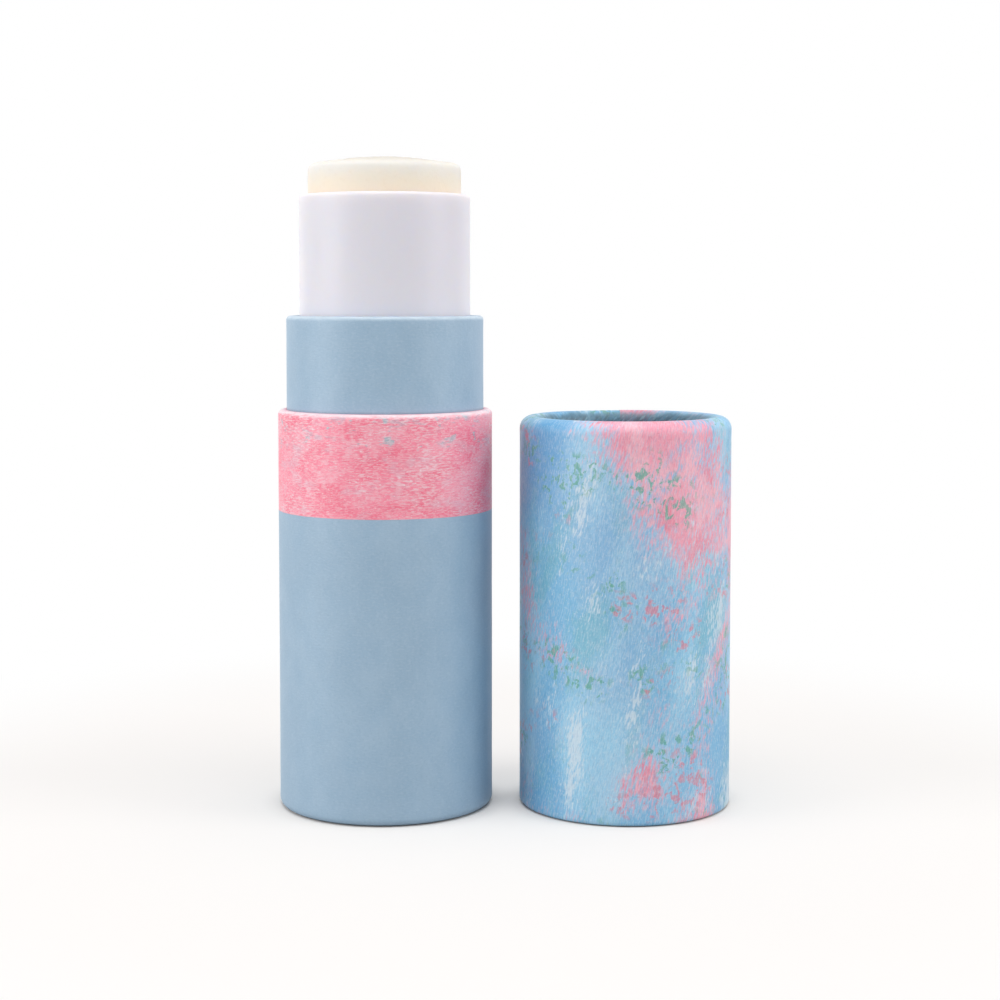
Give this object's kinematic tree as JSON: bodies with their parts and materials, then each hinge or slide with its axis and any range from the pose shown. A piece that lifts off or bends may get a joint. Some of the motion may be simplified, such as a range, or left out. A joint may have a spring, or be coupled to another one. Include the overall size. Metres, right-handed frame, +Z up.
{
  "type": "lip balm stick",
  "caption": "Twist-up lip balm in a paper tube, raised a little out of its white barrel, with its pull-off cap standing beside it.",
  "frame": {"origin": "middle of the footprint of the stick and its cap, on the surface that they stand on", "axes": "+Z up along both axes, +X from the stick to the cap, -Y towards the viewer"},
  "size_m": [0.0594, 0.028, 0.0848],
  "materials": {
    "blue_paper": "matte",
    "printed_paper": "matte",
    "grey_board": "matte",
    "white_paper": "matte",
    "white_plastic": "satin",
    "natural_plastic": "satin",
    "balm": "satin"
  },
  "bodies": {
    "base": {"base_wrap": "blue_paper", "base_tube": "grey_board", "base_floor_facing": "blue_paper", "base_floor_disc": "grey_board", "neck_tube": "grey_board", "neck_wrap": "blue_paper", "twist_hub": "natural_plastic", "spindle": "natural_plastic"},
    "barrel": {"barrel": "white_plastic"},
    "carrier": {"carrier": "natural_plastic", "balm": "balm"},
    "cap": {"cap_wrap": "printed_paper", "cap_tube": "grey_board", "cap_lining": "white_paper", "cap_top_facing": "printed_paper", "cap_top_disc": "grey_board", "cap_inner_facing": "white_paper"}
  },
  "joints": [
    {"name": "barrel_twist", "type": "hinge", "parent": "base", "child": "barrel", "pos_m": [-0.01569, 0, 0.01138], "axis": [0, 0, -1], "range_deg": [-450, 3960]},
    {"name": "carrier_slide", "type": "slide", "parent": "barrel", "child": "carrier", "axis": [0, 0, 1], "range_m": [-0.00502, 0.04402]},
    {"name": "cap_lift", "type": "slide", "parent": "base", "child": "cap", "axis": [0, 0, 1], "range_m": [0, 0.09]}
  ],
  "couplings": [
    {"joint": "carrier_slide", "follows": "barrel_twist", "m_per_rad": 0.00063662}
  ]
}
